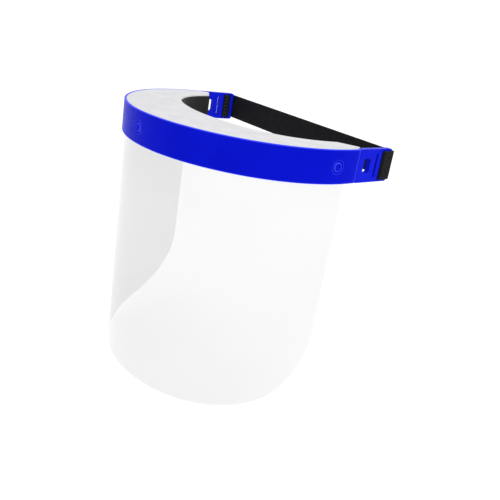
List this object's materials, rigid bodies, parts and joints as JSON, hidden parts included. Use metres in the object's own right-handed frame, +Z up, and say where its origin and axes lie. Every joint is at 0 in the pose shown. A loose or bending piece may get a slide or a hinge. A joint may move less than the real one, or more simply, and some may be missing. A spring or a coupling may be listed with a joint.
{
  "type": "face shield",
  "caption": "Clear wrap-round visor on a moulded head band with push studs, foam brow, sweatband and elastic strap",
  "frame": {"origin": "middle of the forehead where it meets the sweatband, at mid-height of the band", "axes": "+Y back through the wearer's head, +X to the wearer's left, +Z up; the visor faces -Y"},
  "size_m": [0.207, 0.1451, 0.1974],
  "materials": {
    "band_plastic": "satin",
    "visor_sheet": "gloss",
    "brow_foam": "matte",
    "sweatband_cloth": "matte",
    "strap_webbing": "matte",
    "thread": "satin",
    "adhesive_tape": "satin"
  },
  "bodies": {
    "root": {"headband_frame": "band_plastic", "front_band": "band_plastic", "visor": "visor_sheet", "brow_foam": "brow_foam", "foam_tape": "adhesive_tape", "sweatband": "sweatband_cloth", "sweatband_tape": "adhesive_tape", "stud_socket_left": "band_plastic", "stud_socket_centre": "band_plastic", "stud_socket_right": "band_plastic", "strap_end_left": "strap_webbing", "strap_end_right": "strap_webbing", "hem_stitch_left": "thread", "hem_stitch_right": "thread"},
    "stud_left": {"stud_left": "band_plastic"},
    "stud_centre": {"stud_centre": "band_plastic"},
    "stud_right": {"stud_right": "band_plastic"},
    "strap": {"strap_rear": "strap_webbing"}
  },
  "joints": [
    {"name": "stud_left_pull", "type": "slide", "parent": "root", "child": "stud_left", "axis": [0.9986, -0.0523, 0], "range_m": [0, 0.006]},
    {"name": "stud_centre_pull", "type": "slide", "parent": "root", "child": "stud_centre", "axis": [0, -1, 0], "range_m": [0, 0.006]},
    {"name": "stud_right_pull", "type": "slide", "parent": "root", "child": "stud_right", "axis": [-0.9986, -0.0523, 0], "range_m": [0, 0.006]},
    {"name": "strap_stretch", "type": "slide", "parent": "root", "child": "strap", "axis": [0, 1, 0], "range_m": [0, 0.06], "stiffness_N_per_m": 60}
  ]
}
